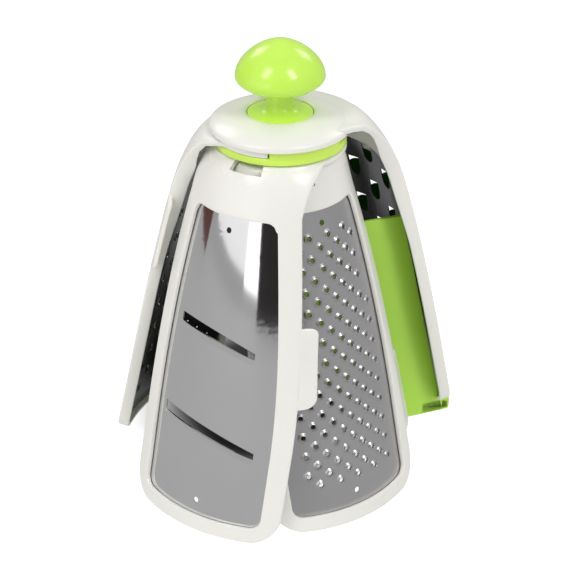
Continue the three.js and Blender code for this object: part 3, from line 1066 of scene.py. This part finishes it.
# ---------------------------------------------------------------- steel plates
@dataclass
class SteelPlate:
    """Steel plate of a leaf, with its openings and the raised edges round them."""

    leaf: Leaf
    finish: bpy.types.Material
    face: float = -PLATE_SEAT
    lip_thickness: float = 0.35
    across_cut: float = 2.3
    up_cut: float = 3.05

    def stagger(
        self, across: float, up: float, top: float, margin: float, offset: float = 0.0
    ) -> list[Point]:
        """Centres of a staggered grid that keep clear of the window's edge.

        Args:
            across: Pitch across.
            up: Pitch up.
            top: Highest row.
            margin: Least distance from the window's edge.
            offset: Shift across.

        Returns:
            Centres as (across, up).
        """
        found = []
        columns = math.ceil(HALF_WIDTH / across)
        for column in range(-columns, columns + 1):
            place = column * across + offset
            height = top - (up / 2 if column % 2 else 0.0)
            while height > FOOT_BORDER + 2 * margin:
                if abs(place) < half_width(max(height, WIDEST_HEIGHT)) - BORDER - margin:
                    found.append((place, height))
                height -= up
        return found

    def locators(self) -> list[list[Point]]:
        """The two small round holes on the centre line."""
        return [circle(0.0, height, 1.5, 14) for height in (156.6, 14.8 + self.leaf.foot)]

    def openings(self) -> list[list[Point]]:
        """Outlines of the openings."""
        return self.locators()

    def edges(self) -> list[bmesh.types.BMesh]:
        """Raised edges of the openings, flat, standing on the plate's face."""
        return []

    def build(self, shop: Workshop) -> bpy.types.Object:
        """Makes the plate.

        Args:
            shop: Workshop that places it.

        Returns:
            The piece.
        """
        leaf = self.leaf
        mesh = bmesh.new()
        border = RIM_WALL + 0.6
        back = self.face - PLATE_THICKNESS
        for outline in (leaf.outline(border, border, 172.0, 4.0), *self.openings()):
            ring_edges(mesh, [(x, y, back) for x, y in outline])
        bmesh.ops.triangle_fill(mesh, use_beauty=True, use_dissolve=False, edges=mesh.edges[:])
        slice_up(mesh, 0, [self.across_cut * i for i in range(-18, 19)])
        slice_up(mesh, 1, [leaf.foot + self.up_cut * i for i in range(1, 57)])
        top = bmesh.ops.extrude_face_region(mesh, geom=mesh.faces[:])["geom"]
        corners = [g for g in top if isinstance(g, bmesh.types.BMVert)]
        bmesh.ops.translate(mesh, verts=corners, vec=(0, 0, PLATE_THICKNESS))
        bmesh.ops.recalc_face_normals(mesh, faces=mesh.faces)
        mesh = merge(mesh, *self.edges())
        leaf.wrap(mesh)
        name = leaf.name + "_plate"
        ride = leaf.name + "_leaf"
        return shop.piece(
            mesh, name + "_sheet", self.finish, ride, "polished_steel", [name], sharp=50.0
        )

    def lip(
        self, line: Sequence[Point], foot: Sequence[Point], height: Sequence[float]
    ) -> bmesh.types.BMesh:
        """Ramp pressed up from the plate to a cutting edge.

        Args:
            line: The cutting edge as (across, up).
            foot: Where the ramp leaves the plate.
            height: How far each point of the cutting edge stands out.

        Returns:
            A thin curved sheet.
        """
        mesh = bmesh.new()
        corners = [mesh.verts.new((x, y, self.face - 0.1)) for x, y in foot]
        edges = [mesh.edges.new(pair) for pair in zip(corners, corners[1:])]
        order = {corner: i for i, corner in enumerate(corners)}
        for share in (0.35, 0.7, 1.0):
            places = [
                (blend(a, c, share), blend(b, d, share), self.face - 0.1 + tall * share ** 0.7)
                for (a, b), (c, d), tall in zip(foot, line, height)
            ]
            edges, order = extrude_row(mesh, edges, order, places)
        bmesh.ops.recalc_face_normals(mesh, faces=mesh.faces)
        bmesh.ops.solidify(mesh, geom=mesh.faces[:], thickness=self.lip_thickness)
        bmesh.ops.recalc_face_normals(mesh, faces=mesh.faces)
        return mesh


def circle(across: float, up: float, radius: float, sides: int) -> list[Point]:
    """Round outline.

    Args:
        across: Centre across.
        up: Centre up.
        radius: Radius.
        sides: Count of its sides.

    Returns:
        Points as (across, up).
    """
    turns = [2 * math.pi * i / sides for i in range(sides)]
    return [(across + radius * math.cos(t), up + radius * math.sin(t)) for t in turns]


@dataclass
class GratePlate(SteelPlate):
    """Plate with many small punched holes, each with a burr round it."""

    hole: float = 1.35

    def centres(self) -> list[Point]:
        """Centres of the holes."""
        return self.stagger(5.7, 10.6, 150.4, 6.0, 2.4)

    def openings(self) -> list[list[Point]]:
        """Outlines of the openings."""
        return self.locators() + [circle(x, y, self.hole, 12) for x, y in self.centres()]

    def edges(self) -> list[bmesh.types.BMesh]:
        """A turned burr on every hole.

        Returns:
            The burrs.
        """
        made = []
        inside = [(self.hole, -0.2), (1.3, 0.7), (1.45, 0.95)]
        outside = [(1.8, 0.9), (2.25, 0.4), (2.65, 0.08), (2.9, -0.1)]
        for x, y in self.centres():
            burr = turned([*inside, *outside], 12)
            bmesh.ops.translate(burr, verts=burr.verts, vec=(x, y, self.face))
            made.append(burr)
        return made


@dataclass
class ToothedPlate(SteelPlate):
    """Plate with shred openings, each under a pressed hood."""

    across: float = 12.3
    up: float = 24.3
    top: float = 164.0
    margin: float = 7.0
    width: float = 7.0
    height: float = 7.6
    slit: float = 4.2
    rise: float = 2.4
    spread: float = 1.03
    bow: float = 0.6
    # Dark green steel for the inner faces of the hoods: a painted reflection of the green guard, not a
    # real finish.
    painted_green_reflection: bpy.types.Material | None = None

    def centres(self) -> list[Point]:
        """Middles of the cutting edges."""
        return self.stagger(self.across, self.up, self.top, self.margin)

    def openings(self) -> list[list[Point]]:
        """Outlines of the lower locator and of the openings, which are rounded below.

        Returns:
            The outlines.
        """
        made = self.locators()[1:]
        half = self.width / 2
        for x, y in self.centres():
            bowl = [(x + half * math.cos(t), y - self.bowl(t)) for t in self.turns(11)]
            made.append([(x + half, y + self.slit), *bowl, (x - half, y + self.slit)])
        return made

    def bowl(self, turn: float) -> float:
        """How far below the cutting edge the hood's foot lies, at an angle over half a turn."""
        return self.height * math.sin(turn) ** 0.5 if 0.01 < turn < 3.13 else 0.0

    def turns(self, count: int) -> list[float]:
        """Angles over half a turn, from the right round to the left."""
        return [math.pi * i / (count - 1) for i in range(count)]

    def edges(self) -> list[bmesh.types.BMesh]:
        """A hood that rises from below to the cutting edge of every opening.

        Returns:
            The hoods.
        """
        made = []
        half = self.width / 2
        wide, turns = self.spread, self.turns(11)
        for x, y in self.centres():
            foot = [(x + half * wide * math.cos(t), y - wide * self.bowl(t)) for t in turns]
            line = [(x + half * math.cos(t), y + self.bow * math.sin(t)) for t in turns]
            rise = [0.15 + self.rise * math.sin(t) for t in turns]
            hood = self.lip(line, foot, rise)
            for face in hood.faces:
                # Hood faces that look inwards get the painted green reflection.
                face.material_index = 1 if self.painted_green_reflection and face.normal.z < 0 else 0
            made.append(hood)
        return made

    def build(self, shop: Workshop) -> bpy.types.Object:
        """Makes the plate, whose hoods may have a painted green reflection inside.

        Args:
            shop: Workshop that places it.

        Returns:
            The piece.
        """
        plate = super().build(shop)
        if self.painted_green_reflection:
            plate.data.materials.append(self.painted_green_reflection)
        return plate


@dataclass
class SlicerPlate(SteelPlate):
    """Plate with two arched slots, each with a raised blade below it."""

    slots: tuple[tuple[Point, Point], ...] = (
        ((-24.5, 105.0), (23.0, 97.0)),
        ((-30.0, 55.0), (28.5, 45.0)),
    )
    crown: float = 6.0

    def arch(
        self, left: Point, right: Point, near: float, far: float, steps: int = 20
    ) -> list[Point]:
        """Arched line from one end of a slot to the other.

        Args:
            left: Left end of the slot.
            right: Right end of the slot.
            near: Shift up at the left end.
            far: Shift up at the right end.
            steps: Count of its parts.

        Returns:
            Points from left to right.
        """
        a = Vector((left[0], left[1] + near))
        c = Vector((right[0], right[1] + far))
        b = (Vector(left) + Vector(right)) / 2 + Vector((0, self.crown + near))
        made = []
        for i in range(steps + 1):
            share = i / steps
            made.append(a * (1 - share) ** 2 + b * 2 * share * (1 - share) + c * share**2)
        return [(p.x, p.y) for p in made]

    def openings(self) -> list[list[Point]]:
        """Outlines of the locators and the slots.

        Returns:
            The outlines.
        """
        made = self.locators()
        for left, right in self.slots:
            low = self.arch(left, right, -2.6, -1.8)
            made.append(low + self.arch(left, right, 2.6, 1.8)[::-1])
        return made

    def edges(self) -> list[bmesh.types.BMesh]:
        """A blade below every slot.

        Returns:
            The blades.
        """
        made = []
        for left, right in self.slots:
            line = self.arch(left, right, -1.9, -1.3)
            foot = self.arch(left, right, -6.2, -4.6)
            rise = [0.2 + 1.5 * math.sin(math.pi * i / 20) ** 0.5 for i in range(21)]
            made.append(self.lip(line, foot, rise))
        return made


# ---------------------------------------------------------------- guard
@dataclass
class StorageGuard:
    """Green guard behind the coarse leaf: side wall, inner wall and a hem under the leaf's foot."""

    finish: bpy.types.Material
    near: float = -21.2
    wall: float = 2.4
    inset: float = 12.7
    reach: float = 23.4
    height: float = 132.5
    far: float = 33.0
    hem_depth: float = 6.6
    hem_top: float = 8.2
    shoe: float = 12.0
    throat: float = 44.0
    throat_from: float = 118.0

    def radius(self, up: float) -> float:
        """Radius of the innermost leaf's wall at a height."""
        return cubic(wall_curve(0.0), up / WALL_HEIGHT).x

    def side_wall(self) -> bmesh.types.BMesh:
        """Flat wall that the folded leaves come to rest against.

        Returns:
            The wall in the guard's own frame.
        """
        rows = [self.height * i / 26 for i in range(27)]
        outer = [(self.radius(up) + self.reach, up) for up in rows]
        inner = [(self.radius(up) - self.inset - self.wall, up) for up in rows]
        inner = [(max(r, self.throat) if up > self.throat_from else r, up) for r, up in inner]
        mesh = slab([*outer, *reversed(inner)], -self.wall, 0.0)
        soften(mesh, 0.7, 40.0)
        spun(mesh, 90, "X")
        spun(mesh, self.near, "Z")
        return mesh

    def inner_wall(self) -> bmesh.types.BMesh:
        """Curved wall inside the folded leaves.

        Returns:
            The wall in the guard's own frame.
        """
        rows = [self.height * i / 26 for i in range(27)]
        outer = [(self.radius(up) - self.inset, up) for up in rows]
        inner = [(r - self.wall, up) for r, up in reversed(outer)]
        mesh = turned([*outer, *inner], 28, self.far - self.near, self.near + 90)
        soften(mesh, 0.7, 40.0)
        return mesh

    def hem(self) -> bmesh.types.BMesh:
        """Foot strip under the coarse leaf, with the shoe that joins it to the side wall.

        Returns:
            The strip in the guard's own frame.
        """
        foot = FOOT_RADIUS + 3 * LEAF_PITCH
        back, top = foot - self.hem_depth, self.hem_top
        section = [(back, 0), (foot, 0), (foot, top), (back, top)]
        strip = turned(section, 24, 20 - self.near, self.near + 90)
        soften(strip, 1.6, 40.0)
        front, heel = foot - 0.4, back - self.shoe
        shoe = slab([(heel, 0), (front, 0), (front, top), (heel, top)], -self.wall, 0.0)
        soften(shoe, 1.0, 40.0)
        spun(shoe, 90, "X")
        spun(shoe, self.near, "Z")
        return merge(strip, shoe)

    def build(self, shop: Workshop) -> bpy.types.Object:
        """Makes the guard.

        Args:
            shop: Workshop that places it.

        Returns:
            The piece.
        """
        mesh = merge(self.side_wall(), self.inner_wall(), self.hem())
        spun(mesh, COARSE.azimuth - 90, "Z")
        return shop.piece(
            mesh, "guard_shell", self.finish, "coarse_leaf", "green_plastic", ["storage_guard"]
        )


# ---------------------------------------------------------------- hub and knob
@dataclass
class Hub:
    """Green collar on the spindle, with the block that stops the fine leaf."""

    finish: bpy.types.Material
    radius: float = 32.9
    under: float = 187.4
    ledge: float = 191.0
    top: float = 194.4
    block_inner: float = 15.9

    def build(self, shop: Workshop) -> bpy.types.Object:
        """Makes the collar.

        Args:
            shop: Workshop that places it.

        Returns:
            The piece.
        """
        outer, under, ledge = self.radius, self.under, self.ledge
        ring = turned([(BORE, under), (outer, under), (outer, ledge), (BORE, ledge)], 128)
        soften(ring, 0.5, 40.0)
        low, high, inner = ledge - 1, self.top, self.block_inner
        block = turned([(inner, low), (outer, low), (outer, high), (inner, high)], 32, 71.0, -9.0)
        soften(block, 0.45, 40.0)
        mesh = merge(ring, block)
        return shop.piece(
            mesh, "collar_ring", self.finish, "coarse_leaf", "green_plastic", ["hub_collar"]
        )


@dataclass
class Knob:
    """Mushroom knob on its stem."""

    finish: bpy.types.Material
    stem_finish: bpy.types.Material
    radius: float = 22.1
    equator: float = 220.6
    top: float = 239.1
    under: float = CAP_UNDERSIDE

    def cap(self) -> bmesh.types.BMesh:
        """Cap of the knob, open below.

        Returns:
            The cap.
        """
        wide, middle, low = self.radius, self.equator, self.under
        dome = ((0.01, self.top), (8.3, self.top), (wide, middle + 9.7), (wide, middle))
        rim = ((wide, middle), (wide, middle - 2.1), (17.5, low), (14.1, low))
        outside = [cubic(dome, i / 26) for i in range(27)]
        outside += [cubic(rim, i / 12) for i in range(1, 13)]
        inside = [(12.6, low), (12.6, low + 2), (19.7, 220.6), (18.5, 227.6), (14.0, 233.5)]
        return turned([*((p.x, p.y) for p in outside), *inside, (0.01, 234.1)], 128)

    def spool(self) -> bmesh.types.BMesh:
        """Plate under the cap, stem, flange in the disc and shank.

        Returns:
            The spool.
        """
        curve = ((16.2, 202.0), (10.0, 202.1), (6.6, 203.6), (6.5, 207.5))
        fillet = [cubic(curve, i / 10) for i in range(11)]
        low = self.under
        profile = [(2.9, 178.6), (9.0, 178.6), (9.0, 199.9), (16.2, 199.9)]
        profile += [(p.x, p.y) for p in fillet]
        profile += [(6.5, low), (12.3, low), (12.3, low + 2), (2.9, low + 2)]
        mesh = turned(profile, 96)
        soften(mesh, 0.35, 50.0)
        return mesh

    def build(self, shop: Workshop) -> None:
        """Makes the cap and the spool."""
        shop.piece(self.cap(), "knob_dome", self.finish, "knob", "green_plastic", ["knob_cap"])
        shop.piece(self.spool(), "knob_stem", self.stem_finish, "knob", "green_plastic", ["knob_spool"])


# ---------------------------------------------------------------- studio
def grey(tone: float) -> Colour:
    """Opaque grey of a tone."""
    return (tone, tone, tone, 1)


@dataclass
class Studio:
    """Floor, soft light and camera."""

    lens: float = 87.6
    eye: Place = (0.0012, -0.6415, 0.4715)
    target: Place = (0.0012, -0.00365, 0.1018)
    floor_reach: float = 6.0

    def card(self, name: str, corners: Sequence[Sequence[float]], paint: bpy.types.Material) -> None:
        """Stands a flat card in the studio.

        Args:
            name: Name of the card.
            corners: Its four corners in metres.
            paint: Its finish.
        """
        mesh = bmesh.new()
        mesh.faces.new([mesh.verts.new(c) for c in corners])
        data = bpy.data.meshes.new(name)
        mesh.to_mesh(data)
        mesh.free()
        data.materials.append(paint)
        made = bpy.data.objects.new(name, data)
        bpy.context.scene.collection.objects.link(made)

    def upright(
        self, name: str, start: Point, end: Point, span: Point, paint: bpy.types.Material
    ) -> None:
        """Stands a card on a line on the floor.

        Args:
            name: Name of the card.
            start: One end of the line, in metres.
            end: The other end.
            span: Heights of its lower and upper edge.
            paint: Its finish.
        """
        low, high = span
        self.card(name, [(*start, low), (*end, low), (*end, high), (*start, high)], paint)

    def lamp(self, name: str, place: Place, aim: Place, size: Point, power: float) -> None:
        """Hangs a soft rectangular lamp.

        Args:
            name: Name of the lamp.
            place: Where it hangs, in metres.
            aim: Point that it faces.
            size: Its width and height.
            power: Its power in watts.
        """
        light = bpy.data.lights.new(name, "AREA")
        light.shape = "RECTANGLE"
        light.size, light.size_y = size
        light.energy = power
        made = bpy.data.objects.new(name, light)
        made.location = place
        made.rotation_euler = (Vector(aim) - Vector(place)).to_track_quat("-Z", "Y").to_euler()
        bpy.context.scene.collection.objects.link(made)

    def air(self) -> None:
        """Lights the studio from above and leaves its sides dimmer; the camera sees plain white."""
        world = bpy.data.worlds.new("studio air")
        bpy.context.scene.world = world
        world.use_nodes = True
        sheet = NodeSheet(world.node_tree)
        sky = world.node_tree.nodes["Background"]
        place = sheet.add("TexCoord")
        split = sheet.add("SeparateXYZ")
        climb = sheet.add("MapRange")
        climb.inputs["From Min"].default_value = 0.0
        climb.inputs["From Max"].default_value = 0.8
        climb.inputs["To Min"].default_value = 0.42
        climb.inputs["To Max"].default_value = 0.46
        path = sheet.add("LightPath")
        pick = sheet.add("Mix", data_type="FLOAT")
        pick.inputs[3].default_value = 1.0
        sheet.join(
            (place.outputs["Generated"], split.inputs[0]),
            (split.outputs["Z"], climb.inputs["Value"]),
            (path.outputs["Is Camera Ray"], pick.inputs[0]),
            (climb.outputs[0], pick.inputs[2]),
            (pick.outputs[0], sky.inputs["Strength"]),
        )
        sky.inputs["Color"].default_value = WHITE

    def build(self) -> None:
        """Sets up the whole studio."""
        # The dark tone grey(0.03) is the colour of the painted shade under the grater.
        paper = FloorPaper("pale paper", grey(0.16), grey(0.03), 0.9).make()
        lit = StudioPaint("lit card", grey(0.8), grey(0.78), 0.9, 1.1).make()
        dim = StudioPaint("dim card", grey(0.3), grey(0.28), 0.9, 0.8).make()
        brown = StudioPaint("brown card", (0.14, 0.055, 0.045, 1), (0.1, 0.04, 0.03, 1), 0.9).make()
        black = (0.012, 0.009, 0.009, 1)
        dark = StudioPaint("dark card", (0.02, 0.014, 0.013, 1), black, 0.8).make()
        far = self.floor_reach
        self.card("floor", [(-far, -far, 0), (far, -far, 0), (far, far, 0), (-far, far, 0)], paper)
        self.upright("camera card", (-0.59, -1.39), (0.7, -1.5), (0.0, 0.6), dark)
        self.upright("streak card", (-0.98, -1.24), (-0.59, -1.39), (0.07, 0.7), lit)
        self.upright("side card", (-1.6, -0.2), (-0.98, -1.24), (0.1, 0.8), dim)
        self.upright("left card", (-1.05, 0.02), (-1.0, 0.66), (0.0, 1.0), brown)
        self.air()
        self.lamp("left pane", (-0.62, -0.62, 1.15), (0, 0, 0.18), (0.3, 0.62), 5.2)
        self.lamp("right pane", (0.62, -0.72, 1.15), (0, 0, 0.18), (0.3, 0.62), 6.2)
        self.lamp("back left pane", (-0.62, 0.75, 0.95), (0, 0, 0.2), (0.3, 0.4), 2.0)
        self.lamp("back right pane", (0.72, 0.7, 0.95), (0, 0, 0.2), (0.3, 0.4), 2.0)
        data = bpy.data.cameras.new("camera")
        data.lens = self.lens
        data.sensor_width = 36.0
        data.clip_start = 0.01
        camera = bpy.data.objects.new("camera", data)
        place, aim = Vector(self.eye), Vector(self.target)
        camera.location = place
        camera.rotation_euler = (aim - place).to_track_quat("-Z", "Y").to_euler()
        bpy.context.scene.collection.objects.link(camera)
        bpy.context.scene.camera = camera
        bpy.context.scene.view_settings.view_transform = "Standard"


def dress(nodes: Sequence[str], material: bpy.types.Material) -> None:
    """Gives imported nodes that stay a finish.

    Args:
        nodes: Names of the nodes.
        material: Their finish.
    """
    for name in nodes:
        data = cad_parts[name].data
        data.materials.clear()
        data.materials.append(material)
        LOG.info("%s: kept, finished in %s", name, material.name)


def main() -> None:
    """Builds the grater and its studio."""
    logging.basicConfig(level=logging.INFO, format="%(message)s")
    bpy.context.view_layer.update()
    shop = Workshop()
    white = MouldedPlastic(
        "warm white plastic", (0.86, 0.85, 0.8, 1), (0.83, 0.82, 0.77, 1), 0.24, 0.1, 0.05
    ).make()
    green = MouldedPlastic(
        "lime plastic", (0.58, 0.9, 0.11, 1), (0.55, 0.86, 0.1, 1), 0.16, 0.06, 0.06
    ).make()
    pale_green = MouldedPlastic(
        "pale lime plastic", (0.66, 0.93, 0.13, 1), (0.63, 0.9, 0.12, 1), 0.2, 0.06, 0.06
    ).make()
    leaf_green = MouldedPlastic(
        "lime guard plastic", (0.5, 0.86, 0.085, 1), (0.46, 0.8, 0.075, 1), 0.3, 0.1, 0.05
    ).make()
    mirror = SheetSteel(
        "mirror steel", (0.78, 0.78, 0.79, 1), (0.7, 0.7, 0.71, 1), PlateLook.MIRROR.value, 0.05
    ).make()
    bright = SheetSteel(
        "bright steel", (0.24, 0.24, 0.25, 1), (0.15, 0.15, 0.16, 1), PlateLook.BRIGHT.value, 0.1
    ).make()
    satin = SheetSteel(
        "satin steel", (0.62, 0.61, 0.62, 1), (0.54, 0.53, 0.54, 1), PlateLook.SATIN.value, 0.2
    ).make()
    brass = SheetSteel(
        "turned brass", (0.8, 0.6, 0.26, 1), (0.7, 0.5, 0.2, 1), 0.25, 0.15
    ).make()
    windows = {SLICER: (-9.0, 19.0), GRATE: (-24.0, -4.0)}
    for leaf in (COARSE, FINE, SLICER, GRATE):
        LeafFrame(leaf, white, windows.get(leaf)).build(shop)
    # Painted reflection: this dark green steel inside the coarse plate's hoods stands for the green
    # guard mirrored there.
    painted_green_reflection = SheetSteel(
        "steel with painted green reflection", (0.012, 0.05, 0.008, 1), (0.006, 0.035, 0.004, 1), 0.5, 0.1
    ).make()
    ToothedPlate(COARSE, bright, painted_green_reflection=painted_green_reflection).build(shop)
    ToothedPlate(
        FINE,
        bright,
        across=8.1,
        up=16.2,
        top=142.0,
        margin=4.0,
        width=4.4,
        height=3.4,
        slit=1.6,
        rise=1.3,
    ).build(shop)
    SlicerPlate(SLICER, mirror).build(shop)
    GratePlate(GRATE, satin).build(shop)
    StorageGuard(leaf_green).build(shop)
    Hub(pale_green).build(shop)
    Knob(green, pale_green).build(shop)
    dress(["retainer_cup"], leaf_green)
    stack = ["spindle_bolt", "bolt_washer", "upper_thrust_washer", "wave_spring"]
    dress([*stack, "lower_thrust_washer"], bright)
    dress(["knob_insert"], brass)
    Studio().build()


if __name__ == "__main__":
    main()
